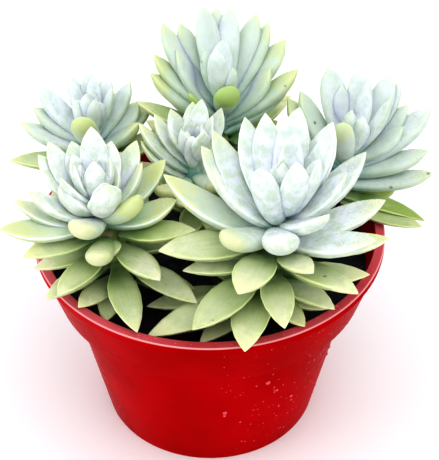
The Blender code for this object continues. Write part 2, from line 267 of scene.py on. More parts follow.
def shape_section(leaf, kind):
    """In edit mode, flattens the first ring's upper side, deepens its belly and sinks the channel."""
    above, channel, _ = SECTIONS[kind]
    select_points(leaf, lambda place: place.z > OFF_MARGIN)
    bpy.ops.transform.resize(value=(1, 1, 2 * above), center_override=LEAF_CENTRE)
    select_points(leaf, lambda place: place.z < -OFF_MARGIN)
    bpy.ops.transform.resize(value=(1, 1, 2 - 2 * above), center_override=LEAF_CENTRE)
    select_points(leaf, lambda place: place.z > OFF_MARGIN and abs(place.y) < CHANNEL_REACH)
    bpy.ops.transform.resize(value=(1, 1, channel), center_override=LEAF_CENTRE)


def model_leaf(kind):
    """A leaf one unit long, wide and thick, along +X with its upper side up."""
    nothing_selected()
    bpy.ops.mesh.primitive_circle_add(
        vertices=RING_POINTS, radius=0.5, fill_type="NGON", rotation=(0, math.pi / 2, 0)
    )
    leaf = bpy.context.object
    leaf.name = f"{kind}_leaf_blank"
    bpy.ops.object.transform_apply(location=False, rotation=True, scale=False)
    bpy.ops.object.mode_set(mode="EDIT")
    shape_section(leaf, kind)
    bpy.ops.mesh.select_all(action="SELECT")
    here, wide, deep = OUTLINES[kind][0]
    bpy.ops.transform.resize(value=(1, wide, deep), center_override=LEAF_CENTRE)
    for reach, next_wide, next_deep in OUTLINES[kind][1:]:
        bpy.ops.mesh.extrude_region_move(TRANSFORM_OT_translate={"value": (reach - here, 0, 0)})
        bpy.ops.transform.resize(
            value=(1, next_wide / wide, next_deep / deep), center_override=(reach, 0, 0)
        )
        here, wide, deep = reach, next_wide, next_deep
    bpy.ops.mesh.extrude_region_move(TRANSFORM_OT_translate={"value": (1 - here, 0, 0)})
    bpy.ops.mesh.merge(type="CENTER")
    face_outwards()
    select_points(leaf, lambda place: abs(place.z) < ON_MARGIN)
    bpy.ops.transform.edge_crease(value=SECTIONS[kind][2])
    bpy.ops.object.mode_set(mode="OBJECT")
    mark_leaf(leaf.data, kind)
    apply_modifier(leaf, "SUBSURF", levels=2, render_levels=2)
    edit_all()
    full_width = 1 / leaf.dimensions.y
    bpy.ops.transform.resize(value=(1, full_width, full_width), center_override=LEAF_CENTRE)
    bpy.ops.object.mode_set(mode="OBJECT")
    bpy.ops.object.shade_smooth()
    print(leaf.name, len(leaf.data.polygons), "faces")
    return leaf


BLANKS = {kind: model_leaf(kind) for kind in OUTLINES}

# %% [markdown]
# ## Leaf skin
#
# The flesh is yellow-green, painted darker towards the foot as shade where the leaves crowd
# together at their feet. Over it lies the bloom, a bluish wax that is warmer in hue on old leaves,
# and where it is thickest it turns to white powder. It is thin where leaves rub: at the margins,
# which shine through as a fine pale line, and in worn patches. A ripe leaf has a cream or green tip,
# and a leaf with little wax has a few small brown scars.
#
# It could be painted leaf by leaf, but masks made from noises and from the leaf's own attributes
# suit every leaf at once. Crown and lower leaves have the same skin in other amounts, so it is one
# node group, and each material sets the group's colours. What differs from leaf to leaf, how
# powdery, how warm in hue and how ripe it is, comes from three more attributes on its points.

# %% Node helpers
def fill_inputs(tree, node, values):
    """Sets a node's inputs, or links them where the value is another node's socket."""
    for key, value in dict(values).items():
        if isinstance(value, bpy.types.NodeSocket):
            tree.links.new(value, node.inputs[key])
        else:
            node.inputs[key].default_value = value


def add_node(tree, kind, values=(), **settings):
    """Adds a node, sets its properties, and sets or links its inputs, given as (key, value) pairs."""
    made = tree.nodes.new(kind)
    for key, value in settings.items():
        setattr(made, key, value)
    fill_inputs(tree, made, values)
    return made


def maths(tree, operation, *values, clamp=False):
    """A Math node's result."""
    node = add_node(tree, "ShaderNodeMath", enumerate(values), operation=operation, use_clamp=clamp)
    return node.outputs[0]


def product(tree, *factors, clamp=False):
    """Values multiplied one after another."""
    result = factors[0]
    for factor in factors[1:]:
        result = maths(tree, "MULTIPLY", result, factor, clamp=clamp)
    return result


def ramped(tree, value, low, high, to_low=0.0, to_high=1.0):
    """A smooth step: to_low where the value is under low, to_high where it is over high."""
    inputs = {"Value": value, "From Min": low, "From Max": high, "To Min": to_low, "To Max": to_high}
    node = add_node(tree, "ShaderNodeMapRange", inputs, interpolation_type="SMOOTHSTEP")
    return node.outputs["Result"]


def mixed(tree, share, first, second):
    """Two colours mixed by a share."""
    inputs = {0: share, 6: first, 7: second}  # a Mix node's colour sockets are numbers 6 and 7
    return add_node(tree, "ShaderNodeMix", inputs, data_type="RGBA").outputs[2]


def noise_value(tree, place, scale, detail, rough=0.5):
    """A noise pattern's value."""
    inputs = {"Vector": place, "Scale": scale, "Detail": detail, "Roughness": rough}
    return add_node(tree, "ShaderNodeTexNoise", inputs).outputs["Fac"]


def cell_distance(tree, place, scale):
    """The distance to the nearest of many scattered points, for spots and specks."""
    return add_node(tree, "ShaderNodeTexVoronoi", {"Vector": place, "Scale": scale}).outputs["Distance"]


def object_place(tree):
    """The place on the object."""
    return add_node(tree, "ShaderNodeTexCoord").outputs["Object"]


def relief_normal(tree, height, strength, depth):
    """The normal of a surface with a fine relief."""
    inputs = {"Height": height, "Strength": strength, "Distance": depth}
    return add_node(tree, "ShaderNodeBump", inputs).outputs[0]


# %% Leaf skin sockets
SKIN_INPUTS = (
    # the foot colour is painted shade, where the leaves crowd together at their feet
    ("Shaded Foot Colour", "Color", (0.2, 0.34, 0.07, 1)),
    ("Blade Colour", "Color", (0.42, 0.56, 0.18, 1)),
    ("Bloom Colour", "Color", (0.56, 0.68, 0.68, 1)),
    ("Warm Bloom", "Color", (0.66, 0.72, 0.42, 1)),
    ("Powder Colour", "Color", (0.84, 0.88, 0.95, 1)),
    ("Margin Colour", "Color", (0.75, 0.82, 0.45, 1)),
    ("Tip Colour", "Color", (0.86, 0.8, 0.6, 1)),
    ("Cream Tip", "Color", (0.82, 0.82, 0.55, 1)),
    ("Green Tip", "Color", (0.2, 0.38, 0.04, 1)),
    ("Powder Start", "Float", 0.1),
    ("Powder Full", "Float", 0.6),
    ("Tip Start", "Float", 0.75),
    ("Bare Roughness", "Float", 0.4),
)
SKIN_OUTPUTS = (("Colour", "Color"), ("Roughness", "Float"), ("Relief", "Float"))
LEAF_MARKS = ("along", "across", "upper", "powder", "warmth", "ripe")


def new_group(name, inputs, outputs):
    """A shader node group with named sockets. Returns it with its input and output nodes."""
    tree = bpy.data.node_groups.new(name, "ShaderNodeTree")
    for label, kind, value in inputs:
        socket = tree.interface.new_socket(label, in_out="INPUT", socket_type=f"NodeSocket{kind}")
        socket.default_value = value
    for label, kind in outputs:
        tree.interface.new_socket(label, in_out="OUTPUT", socket_type=f"NodeSocket{kind}")
    return tree, tree.nodes.new("NodeGroupInput").outputs, tree.nodes.new("NodeGroupOutput")


leaf_skin, given, skin_result = new_group("leaf_skin", SKIN_INPUTS, SKIN_OUTPUTS)
tree = leaf_skin
along, across, upper, powder, warmth, ripe = (
    add_node(tree, "ShaderNodeAttribute", attribute_name=f"leaf_{mark}").outputs["Fac"]
    for mark in LEAF_MARKS
)
place = object_place(tree)
edge = maths(tree, "ABSOLUTE", across)
print(leaf_skin.name, len(SKIN_INPUTS), "inputs")

# %% Leaf skin patterns and flesh
patches = noise_value(tree, place, scale=300, detail=4, rough=0.6)
grain = noise_value(tree, place, scale=1600, detail=2, rough=0.7)
on_leaf = {"X": product(tree, along, 3.0), "Y": product(tree, across, 14.0), "Z": powder}
stretched = add_node(tree, "ShaderNodeCombineXYZ", on_leaf).outputs[0]
streaks = noise_value(tree, stretched, scale=1, detail=4)
cloudy = noise_value(tree, place, scale=140, detail=2)
# towards the foot the flesh is painted darker, as shade where the leaves crowd together
flesh = mixed(tree, ramped(tree, along, 0.05, 0.6), given["Shaded Foot Colour"], given["Blade Colour"])
flesh = mixed(tree, ramped(tree, cloudy, 0.35, 0.75, 0.0, 0.35), flesh, given["Margin Colour"])
print("patterns and flesh", len(tree.nodes), "nodes so far")

# %% Leaf skin powder
lies = product(tree, powder, ramped(tree, along, given["Powder Start"], given["Powder Full"]))
thinned = (
    ramped(tree, edge, 0.4, 1.0, 1.0, 0.55),  # rubbed off towards the margins
    ramped(tree, patches, 0.34, 0.5, 0.9, 1.0),
    ramped(tree, grain, 0.3, 0.6, 0.82, 1.0),
    ramped(tree, streaks, 0.3, 0.6, 0.78, 1.0),
    ramped(tree, upper, 0.0, 0.9, 0.8, 1.0),  # a little less on the belly
)
lies = product(tree, lies, *thinned, clamp=True)
bloom = mixed(tree, warmth, given["Bloom Colour"], given["Warm Bloom"])
colour = mixed(tree, lies, flesh, bloom)
thick = product(tree, ramped(tree, patches, 0.38, 0.62), ramped(tree, powder, 0.65, 1.25), lies)
colour = mixed(tree, thick, colour, given["Powder Colour"])
print("powder", len(tree.nodes), "nodes so far")

# %% Leaf skin tips
ragged = maths(tree, "MULTIPLY_ADD", maths(tree, "SUBTRACT", patches, 0.5), 0.7, along)
start = maths(tree, "MULTIPLY_ADD", ripe, -0.5, given["Tip Start"])  # a riper tip starts lower down
past = maths(tree, "SUBTRACT", ragged, start)
ripened = product(tree, ramped(tree, past, 0.0, 0.25), ramped(tree, ripe, -0.2, 0.7, 0.0, 0.9))
tip = mixed(tree, warmth, given["Tip Colour"], given["Cream Tip"])
tip = mixed(tree, ramped(tree, ripe, 0.4, 0.9), tip, given["Green Tip"])
colour = mixed(tree, ripened, colour, tip)
print("tips", len(tree.nodes), "nodes so far")

# %% Leaf skin margins and scars
SCAR_COLOUR = (0.16, 0.1, 0.03, 1)
line = product(tree, ramped(tree, edge, 0.9, 0.985), ramped(tree, along, 0.1, 0.4, 0.1, 0.85))
colour = mixed(tree, line, colour, given["Margin Colour"])
spots = ramped(tree, cell_distance(tree, place, scale=140), 0.05, 0.11, 0.8, 0.0)
rare = ramped(tree, noise_value(tree, place, scale=60, detail=0), 0.53, 0.55)
unpowdered = ramped(tree, powder, 0.8, 1.0, 1.0, 0.0)
scar = product(tree, spots, rare, unpowdered)
colour = mixed(tree, scar, colour, SCAR_COLOUR)
print("margins and scars", len(tree.nodes), "nodes so far")

# %% Leaf skin roughness and relief
relief = maths(tree, "MULTIPLY_ADD", streaks, 0.5, patches)
relief = maths(tree, "MULTIPLY_ADD", grain, 0.3, relief)
relief = maths(tree, "SUBTRACT", relief, scar)
roughness = maths(tree, "MULTIPLY_ADD", lies, 0.25, given["Bare Roughness"])
fill_inputs(tree, skin_result, {"Colour": colour, "Roughness": roughness, "Relief": relief})
print(leaf_skin.name, len(tree.nodes), "nodes")

# %% Leaf materials
POWDER_DEPTH = 0.05 * MM  # of the relief in the wax
FLESH_DEPTH = 2.4 * MM  # how far light wanders in the flesh


def leaf_material(name, colours, numbers):
    """A leaf's finish: the leaf skin group with its own colours, over soft translucent flesh."""
    made = plain_material(name, (0.5, 0.6, 0.3), 0.5)
    tree = made.node_tree
    values = {label: (*colour, 1) for label, colour in colours.items()}
    skin = add_node(tree, "ShaderNodeGroup", {**values, **numbers}, node_tree=leaf_skin)
    shader_inputs = {
        "Base Color": skin.outputs["Colour"],
        "Roughness": skin.outputs["Roughness"],
        "Normal": relief_normal(tree, skin.outputs["Relief"], strength=0.35, depth=POWDER_DEPTH),
        "Subsurface Weight": 0.5,
        "Subsurface Radius": (1.0, 1.0, 0.35),
        "Subsurface Scale": FLESH_DEPTH,
    }
    fill_inputs(tree, tree.nodes["Principled BSDF"], shader_inputs)
    return made


crown_finish = leaf_material(
    "powdery_leaf",
    {
        # the teal foot colour is painted shade in the depths of the crown
        "Shaded Foot Colour": (0.16, 0.36, 0.3),
        "Blade Colour": (0.42, 0.56, 0.38),
        "Bloom Colour": (0.65, 0.71, 0.74),
        "Warm Bloom": (0.66, 0.72, 0.45),
        "Powder Colour": (0.82, 0.84, 0.91),
        "Margin Colour": (0.9, 0.93, 0.92),
        "Tip Colour": (0.52, 0.6, 0.22),
        "Cream Tip": (0.84, 0.78, 0.5),
        "Green Tip": (0.3, 0.46, 0.1),
    },
    {"Powder Start": -0.15, "Powder Full": 0.4, "Tip Start": 0.85, "Bare Roughness": 0.36},
)
lower_finish = leaf_material(
    "green_leaf",
    {
        # the dark foot colour is painted shade at the feet of the lower leaves
        "Shaded Foot Colour": (0.07, 0.17, 0.04),
        "Blade Colour": (0.32, 0.42, 0.13),
        "Bloom Colour": (0.66, 0.7, 0.54),
        "Warm Bloom": (0.69, 0.7, 0.5),
        "Powder Colour": (0.8, 0.81, 0.72),
        "Margin Colour": (0.72, 0.78, 0.46),
        "Tip Colour": (0.7, 0.7, 0.36),
        "Cream Tip": (0.82, 0.79, 0.58),
        "Green Tip": (0.26, 0.36, 0.05),
    },
    {"Powder Start": 0.1, "Powder Full": 0.7, "Tip Start": 0.85, "Bare Roughness": 0.34},
)
print("leaf materials", crown_finish.name, lower_finish.name)

# %% [markdown]
# ## The lower leaves
#
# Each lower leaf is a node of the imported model, so its finished leaf takes its place from there:
# the tip is the node's farthest point from the stem's axis, the foot is the point farthest from
# the tip, and the width is measured across. Each could be loosened from its node and smoothed, but
# a fresh copy of the blank has cleaner faces: it is stretched to that length and width, bowed a
# little, turned and set down. A weak twist and sideways curve of its own keep two neighbours from
# looking like copies.

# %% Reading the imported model
SHOOTS = ("front_right", "front_left", "middle", "back", "back_left", "back_right")
UP = Vector((0, 0, 1))
DOWN = Vector((0, 0, -1))


def node_points(name):
    """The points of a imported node, each once."""
    return np.unique(read_points(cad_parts[name].data).round(6), axis=0)


class Axis:
    """The middle line of a shoot, read from its stem."""

    def __init__(self, shoot):
        points = node_points(f"{shoot}_stem")
        middle = points.mean(axis=0)
        way = np.linalg.svd(points - middle)[2][0]
        way = way * np.sign(way[2])
        height = (points - middle) @ way
        self.foot = Vector(points[height < 0].mean(axis=0))
        self.end = Vector(points[height > 0].mean(axis=0))
        self.way = (self.end - self.foot).normalized()

    def distance(self, point):
        """How far a point lies from the line."""
        return (point - self.foot).cross(self.way).length

    def rotation(self):
        """The turn that stands a piece's Z axis on the line."""
        return self.way.to_track_quat("Z", "Y").to_euler()


axes = {shoot: Axis(shoot) for shoot in SHOOTS}


def read_leaf(name, axis):
    """Foot, tip and width of a packed leaf."""
    points = [Vector(point) for point in node_points(name)]
    tip = max(points, key=axis.distance)
    foot = max(points, key=lambda point: (point - tip).length)
    sideways = UP.cross(tip - foot).normalized()
    spread = [point.dot(sideways) for point in points]
    return foot, tip, max(spread) - min(spread)


for shoot in SHOOTS:
    print(shoot, "stem ends at", tuple(round(value, 4) for value in axes[shoot].end))

# %% Growing a leaf from its blank
CROWN_SAG = 0.05  # how far a leaf bows below the line from its foot to its tip, of its length
LOWER_SAG = -0.025  # a lower leaf arches above that line
THICKNESS = {"crown": 0.52, "lower": 0.44, "finger": 0.62, "blunt": 0.68}  # of the width
MOST_TWIST = 0.22  # radians from foot to tip
MOST_LEAN = 0.035  # how far a leaf curves sideways, of its length
LEAST_SAG, MOST_SAG = -0.012, 0.02  # what is added to a leaf's sag
ARCH_HEIGHT = 4  # makes along * (1 - along) one unit high in the middle
draw = random.Random(11)


def grow_leaf(name, kind, foot, tip, width, skin, wild=1.0):
    """A finished leaf from foot to tip, with its own slight twist and curve.

    The skin is how powdery it is, how warm in hue, and how far its ripe tip reaches.
    """
    leaf = BLANKS[kind].copy()
    leaf.data = BLANKS[kind].data.copy()
    leaf.name = name
    bpy.context.collection.objects.link(leaf)
    along, y, z = read_points(leaf.data).T
    length = (tip - foot).length
    twist = wild * draw.uniform(-MOST_TWIST, MOST_TWIST) * along
    lean = wild * draw.uniform(-MOST_LEAN, MOST_LEAN)
    sag = (LOWER_SAG if kind == "lower" else CROWN_SAG) + wild * draw.uniform(LEAST_SAG, MOST_SAG)
    cos, sin = np.cos(twist), np.sin(twist)
    deep = z * THICKNESS[kind] * width
    wide = y * width
    arch = along * (1 - along)
    sideways_curve = ARCH_HEIGHT * lean * length * arch
    bow = ARCH_HEIGHT * sag * length * arch
    shaped = (along * length, wide * cos - deep * sin + sideways_curve, wide * sin + deep * cos - bow)
    forward = (tip - foot).normalized()
    sideways = UP.cross(forward).normalized()
    turn = Matrix((forward, sideways, forward.cross(sideways))).transposed()
    move_points(leaf.data, np.stack(shaped, axis=1) @ np.array(turn).T + np.array(foot))
    for mark, value in zip(("leaf_powder", "leaf_warmth", "leaf_ripe"), skin):
        note_points(leaf.data, mark, np.full(len(along), value))
    return leaf


# %% The lower leaves themselves
BLUNT_LEAVES = ("back_right_leaf_05", "front_left_leaf_02")
ODD_LEAVES = {  # the skin of those that differ from their shoot's others
    "back_right_leaf_01": (0.1, 0.0, 0.95),
    "back_right_leaf_05": (0.25, 0.0, 0.75),
    "front_left_leaf_03": (0.35, 0.5, 0.3),
}
LEAF_POWDER = {  # how powdery each shoot's lower leaves are, and how warm their hue
    "front_right": (0.8, 0.65),
    "front_left": (0.85, 0.7),
    "middle": (0.5, 0.7),
    "back": (0.25, 0.5),
    "back_left": (0.55, 0.5),
    "back_right": (0.5, 0.4),
}
POWDER_VARIES = (0.75, 1.15)  # from leaf to leaf, as a factor
WARMTH_VARIES = (0.5, 1.4)
RIPE_VARIES = (0.2, 0.5)


def finish_piece(piece, name, material, nodes):
    """Names a finished piece, gives it its finish and hands it to the frame."""
    piece.name = name
    piece.data.name = name
    piece.data.materials.clear()
    piece.data.materials.append(material)
    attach(piece, "root")
    if nodes:
        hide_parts(*nodes)


for shoot in SHOOTS:
    powder, warmth = LEAF_POWDER[shoot]
    nodes = sorted(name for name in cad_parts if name.startswith(f"{shoot}_leaf_"))
    for node in nodes:
        foot, tip, width = read_leaf(node, axes[shoot])
        leaf_powder = powder * draw.uniform(*POWDER_VARIES)
        leaf_warmth = warmth * draw.uniform(*WARMTH_VARIES)
        skin = ODD_LEAVES.get(node, (leaf_powder, leaf_warmth, draw.uniform(*RIPE_VARIES)))
        kind = "blunt" if node in BLUNT_LEAVES else "lower"
        leaf = grow_leaf(node, kind, foot, tip, width, skin)
        finish_piece(leaf, node.replace("leaf", "lower_leaf"), lower_finish, [node])
    print(shoot, len(nodes), "lower leaves")

# %% [markdown]
# ## The crowns
#
# The upper leaves of a rosette stand tight round the growing tip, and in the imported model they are
# one solid. Here each is a leaf of its own again. A row gives the leaf as a grower would: how far
# below the tip it sits, its compass direction and its rise in degrees, how far it reaches and how
# wide it is, in millimetres. Rows for the youngest leaves stand apart, as the heart.
#
# The other values of a plan say how the whole rosette looks: how deep its crown is, the kind of its
# leaves and how slim they are, how powdery the youngest are, how fast that wears off as leaves
# spread, how warm they are in hue, on which side they turn green and how much, how ripe a tip can
# get, and what a short, blunt leaf in front adds to its ripeness.

# %% Front right crown
CROWNS = {}
CROWNS["front_right"] = {
    "depth": 11, "kind": "crown", "slim": 0.95,
    "powder": 1.4, "worn": 0.5, "warmth": 0.15,
    "green_side": 170, "green": 0.6, "ripest": 0.5, "knob": -0.1,
    "rows": (
        (0, 210, 82, 17, 6), (0, 330, 78, 18, 6), (0, 90, 80, 16, 6),
        (2, 338, 66, 23, 8), (2, 68, 70, 24, 8), (3, 73, 56, 32, 11), (4, 103, 54, 31, 10),
        (4, 45, 49, 32, 11), (3, 30, 57, 29, 9), (5, 118, 50, 32, 10), (7, 138, 43, 34, 10),
        (6, 190, 50, 29, 9), (8, 150, 41, 33, 10), (6, 22, 36, 33, 11), (5, 358, 46, 26, 10),
        (4, 306, 38, 26, 9), (9, 168, 27, 37, 12), (7, 272, 31, 22, 11), (8, 220, 24, 22, 10),
        (9, 5, 19, 33, 11), (9, 326, 22, 34, 12), (9, 349, 7, 33, 10),
    ),
    "heart": ((4, 230, 70, 24, 10), (1, 288, 70, 26, 9), (1, 265, 80, 21, 6), (1, 10, 60, 20, 9)),
}
print("front right", len(CROWNS["front_right"]["rows"]), "rows")

# %% Front left crown
CROWNS["front_left"] = {
    "depth": 10, "kind": "crown", "slim": 0.95,
    "powder": 1.35, "worn": 0.7, "warmth": 0.35,
    "green_side": 0, "green": 1.1, "ripest": 0.62, "knob": 0.12,
    "rows": (
        (0, 295, 60, 15, 7), (0, 218, 54, 18, 7), (0, 60, 78, 14, 6), (0, 170, 76, 14, 6),
        (1, 97, 62, 23, 9), (2, 125, 52, 21, 9), (2, 68, 58, 20, 9), (3, 150, 50, 25, 9),
        (4, 163, 45, 25, 9), (4, 46, 50, 24, 9), (4, 22, 48, 20, 8), (6, 202, 38, 26, 9),
        (7, 26, 38, 26, 9), (7, 355, 24, 24, 10), (5, 326, 42, 19, 9), (6, 250, 31, 19, 9),
        (8, 190, 26, 28, 9), (6, 204, 12, 31, 10), (7, 110, 25, 25, 9), (8, 70, 20, 25, 9),
    ),
    "heart": (
        (0, 143, 62, 16, 7), (0, 60, 76, 14, 7), (0, 114, 60, 14, 6), (2, 35, 60, 14, 7),
        (2, 215, 50, 17, 11), (2, 296, 58, 18, 11), (0, 280, 84, 17, 7), (0, 200, 72, 16, 6),
        (0, 20, 74, 16, 6),
    ),
}
print("front left", len(CROWNS["front_left"]["rows"]), "rows")

# %% Middle crown
CROWNS["middle"] = {
    "depth": 10, "kind": "crown", "slim": 0.8,
    "powder": 1.4, "worn": 1.0, "warmth": 0.3,
    "green_side": 150, "green": 0.4, "ripest": 0.5, "knob": 0.1,
    "rows": (
        (0, 0, 80, 13, 5), (0, 120, 80, 13, 5), (0, 240, 78, 12, 5), (2, 91, 50, 19, 9),
        (2, 126, 50, 18, 8), (3, 150, 48, 20, 8), (2, 48, 48, 19, 8), (2, 65, 56, 16, 8),
        (5, 168, 44, 23, 9), (8, 173, 40, 21, 9), (3, 268, 70, 16, 6), (6, 5, 28, 22, 8),
        (6, 300, 25, 20, 8), (7, 235, 20, 20, 8), (7, 80, 40, 16, 7), (8, 258, 14, 19, 8),
        (8, 278, 10, 18, 8),
    ),
    "heart": (),
}
print("middle", len(CROWNS["middle"]["rows"]), "rows")

# %% Back crown
CROWNS["back"] = {
    "depth": 13, "kind": "finger", "slim": 0.84,
    "powder": 0.98, "worn": 1.2, "warmth": 0.05,
    "green_side": 270, "green": 0.9, "ripest": 0.72, "knob": 0.55,
    "rows": (
        (0, 89, 70, 18, 8), (0, 330, 80, 12, 6), (0, 210, 80, 12, 6), (2, 113, 60, 31, 10),
        (3, 96, 57, 31, 10), (3, 81, 58, 31, 10), (4, 56, 52, 32, 10), (4, 46, 47, 31, 9),
        (5, 132, 50, 31, 10), (4, 148, 48, 33, 10), (6, 30, 42, 31, 11), (6, 162, 39, 29, 9),
        (7, 154, 53, 26, 9), (9, 170, 36, 28, 10), (8, 18, 46, 23, 10), (9, 10, 36, 30, 10),
        (4, 283, 58, 15, 10), (7, 215, 48, 18, 5), (12, 16, 37, 29, 10), (9, 70, 25, 29, 10),
        (10, 110, 22, 29, 10), (10, 138, 15, 28, 10),
    ),
    "heart": ((2, 250, 80, 23, 8), (2, 305, 72, 16, 6), (1, 170, 74, 18, 7)),
}
print("back", len(CROWNS["back"]["rows"]), "rows")

# %% Back left crown
CROWNS["back_left"] = {
    "depth": 10, "kind": "finger", "slim": 0.84,
    "powder": 1.1, "worn": 0.45, "warmth": 0.05,
    "green_side": 320, "green": 1.0, "ripest": 0.75, "knob": 0.4,
    "rows": (
        (0, 330, 78, 12, 6), (0, 210, 76, 13, 6), (0, 90, 78, 13, 6), (4, 160, 44, 25, 10),
        (2, 125, 55, 20, 7), (2, 98, 60, 21, 7), (3, 68, 58, 21, 7), (4, 40, 48, 22, 8),
        (6, 30, 38, 20, 9), (5, 172, 33, 23, 9), (4, 260, 55, 20, 10), (6, 350, 38, 18, 9),
        (7, 180, 25, 26, 9), (7, 30, 30, 23, 9), (7, 110, 28, 25, 9), (8, 75, 22, 25, 9),
    ),
    "heart": (
        (1, 255, 80, 17, 6), (1, 290, 74, 16, 6), (1, 215, 72, 15, 6), (1, 20, 66, 17, 6),
        (1, 145, 68, 18, 6), (1, 82, 72, 18, 6),
    ),
}
print("back left", len(CROWNS["back_left"]["rows"]), "rows")

# %% Back right crown
CROWNS["back_right"] = {
    "depth": 14, "kind": "finger", "slim": 0.86,
    "powder": 1.0, "worn": 0.35, "warmth": 0.1,
    "green_side": 190, "green": 1.1, "ripest": 0.55, "knob": 0.3,
    "rows": (
        (0, 75, 64, 14, 6), (0, 200, 78, 12, 6), (0, 320, 78, 12, 6), (2, 115, 55, 29, 11),
        (2, 104, 58, 22, 9), (2, 78, 58, 28, 10), (3, 48, 49, 30, 11), (4, 38, 46, 30, 9),
        (3, 45, 45, 21, 9), (5, 25, 39, 27, 9), (6, 12, 35, 33, 12), (6, 142, 49, 28, 10),
        (7, 147, 42, 29, 10), (4, 3, 37, 21, 9), (4, 250, 66, 22, 9), (8, 355, 21, 28, 10),
        (12, 347, 16, 31, 9), (7, 75, 25, 27, 9), (8, 115, 20, 27, 9),
    ),
    "heart": ((1, 250, 80, 19, 6), (1, 290, 74, 18, 6), (1, 5, 62, 22, 7), (1, 60, 70, 22, 7)),
}
print("back right", len(CROWNS["back_right"]["rows"]), "rows")

# %% [markdown]
# ## Young leaves and old ones
#
# Round each growing tip comes a tight spiral of the smallest leaves, each a golden angle on from
# the last, as on a real shoot. Young leaves stand steep and are white with powder. Old ones spread
# and turn green, more on one side of each rosette than on the other, so a leaf's age is worked out
# from its rise and its direction. A few short, round-ended leaves look up at the front.

# %% Placing a row's leaf
CROWN_START = 0.5  # how far from the axis a crown leaf starts
STEEPEST = 60  # degrees of rise that still move a leaf's start upwards


def compass(azimuth):
    """A level direction, from its angle in radians."""
    return Vector((math.cos(azimuth), math.sin(azimuth), 0))


def place_row(shoot, row, start):
    """Foot, tip and width of the leaf that a row describes, starting that far from the axis."""
    down, azimuth, rise, reach, width = row
    axis = axes[shoot]
    top = axis.end + axis.way * CROWNS[shoot]["depth"] * MM
    lift = math.radians(rise)
    out = compass(math.radians(azimuth))
    slope = math.tan(math.radians(min(rise, STEEPEST)))
    foot = top - axis.way * down * MM + (out + Vector((0, 0, slope))) * start * MM
    length = (reach - start) * MM
    return foot, foot + (out * math.cos(lift) + Vector((0, 0, math.sin(lift)))) * length, width * MM


# %% Age and kind of a crown leaf
LEVEL_SPREAD = 1.5  # how spread a level leaf counts, where an upright one counts 0
POWDER_LOST = 0.6  # by a leaf of age 1
LEAST_POWDER = 0.2
CROWN_POWDER_VARIES = (0.9, 1.1)
WARMING = 0.5  # what age 1 adds to a leaf's warmth
RIPENING = 0.8  # and to its ripeness
UNRIPE = 0.05  # what the youngest lack in ripeness
BLUNT_FROM = 3  # the least distance of a round-ended leaf below the tip, in millimetres
BLUNT_REACH = 24  # the greatest reach of one
BLUNT_RISE = 18  # it rises more than this, in degrees
FRONT_FROM, FRONT_TO = 215, 330  # the directions that face the front, in degrees
GOLDEN_ANGLE = math.pi * (3 - math.sqrt(5))
HEART_LEAVES = 12  # in a spiral, and half as many round a heart that a plan gives


def is_blunt(row):
    """Whether a crown leaf is one of the short, round-ended ones that look up at the front."""
    down, azimuth, rise, reach, _ = row
    in_front = FRONT_FROM <= azimuth <= FRONT_TO
    return in_front and down >= BLUNT_FROM and reach <= BLUNT_REACH and rise > BLUNT_RISE


def crown_skin(plan, row, blunt):
    """How powdery, how warm and how ripe a crown leaf is, by its rise and direction."""
    _, azimuth, rise, _, _ = row
    turned = max(0, math.cos(math.radians(azimuth - plan["green_side"])))
    spread = LEVEL_SPREAD * (1 - rise / 90) ** 2
    age = spread * (plan["worn"] + plan["green"] * turned)
    powder = (plan["powder"] - POWDER_LOST * age) * draw.uniform(*CROWN_POWDER_VARIES)
    ripe = RIPENING * age - UNRIPE + (plan["knob"] if blunt else 0)
    warmth = min(1.0, plan["warmth"] + WARMING * age)
    return max(LEAST_POWDER, powder), warmth, min(plan["ripest"], ripe)


def heart_rows(plan):
    """The youngest leaves: those a plan gives, and a tight spiral round the growing tip."""
    yield from plan["heart"]
    count = HEART_LEAVES // 2 if plan["heart"] else HEART_LEAVES
    for number in range(count):
        share = number / (HEART_LEAVES - 1)
        azimuth = math.degrees(GOLDEN_ANGLE) * number
        rise = 85 - 25 * share
        reach = 8 + 10 * share
        width = 3.5 + 4.5 * share
        yield 0, azimuth, rise, reach, width


# %% Crowns
BUD_FOOT_RADIUS = 3.6 * MM
BUD_TOP_RADIUS = 1.6 * MM
CROWN_WILDNESS = 0.7  # how freely crown leaves twist and curve, where lower leaves have 1


def join_pieces(pieces):
    """Joins objects into the first of them."""
    nothing_selected()
    for piece in pieces:
        piece.select_set(True)
    bpy.context.view_layer.objects.active = pieces[0]
    bpy.ops.object.join()
    return bpy.context.object


def model_bud(shoot):
    """The solid heart of a crown, from which its leaves spring."""
    axis = axes[shoot]
    depth = CROWNS[shoot]["depth"] * MM
    nothing_selected()
    bpy.ops.mesh.primitive_cone_add(
        vertices=12, radius1=BUD_FOOT_RADIUS, radius2=BUD_TOP_RADIUS, depth=depth,
        location=axis.end + axis.way * depth * 0.5, rotation=axis.rotation(),
    )
    bud = bpy.context.object
    bpy.ops.object.transform_apply()
    apply_modifier(bud, "SUBSURF", levels=2, render_levels=2)
    bpy.ops.object.shade_smooth()
    return bud


for shoot, plan in CROWNS.items():
    leaves = [model_bud(shoot)]
    for row in (*plan["rows"], *heart_rows(plan)):
        foot, tip, width = place_row(shoot, row, CROWN_START)
        kind = "blunt" if is_blunt(row) else plan["kind"]
        skin = crown_skin(plan, row, kind == "blunt")
        width *= plan["slim"]
        leaves.append(grow_leaf("crown_leaf", kind, foot, tip, width, skin, CROWN_WILDNESS))
    crown = join_pieces(leaves)
    finish_piece(crown, f"{shoot}_rosette", crown_finish, [f"{shoot}_crown"])
    print(crown.name, len(leaves) - 1, "leaves,", len(crown.data.polygons), "faces")

# %% [markdown]
# ## Leaves in the shade
#
# Low between the shoots, and round the backs of the stems, lie more leaves, old ones and the tips
# of offsets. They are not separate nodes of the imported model. They are written as rows like the
# crowns' leaves, grown from the lower leaf's blank, and joined to one piece for each shoot.

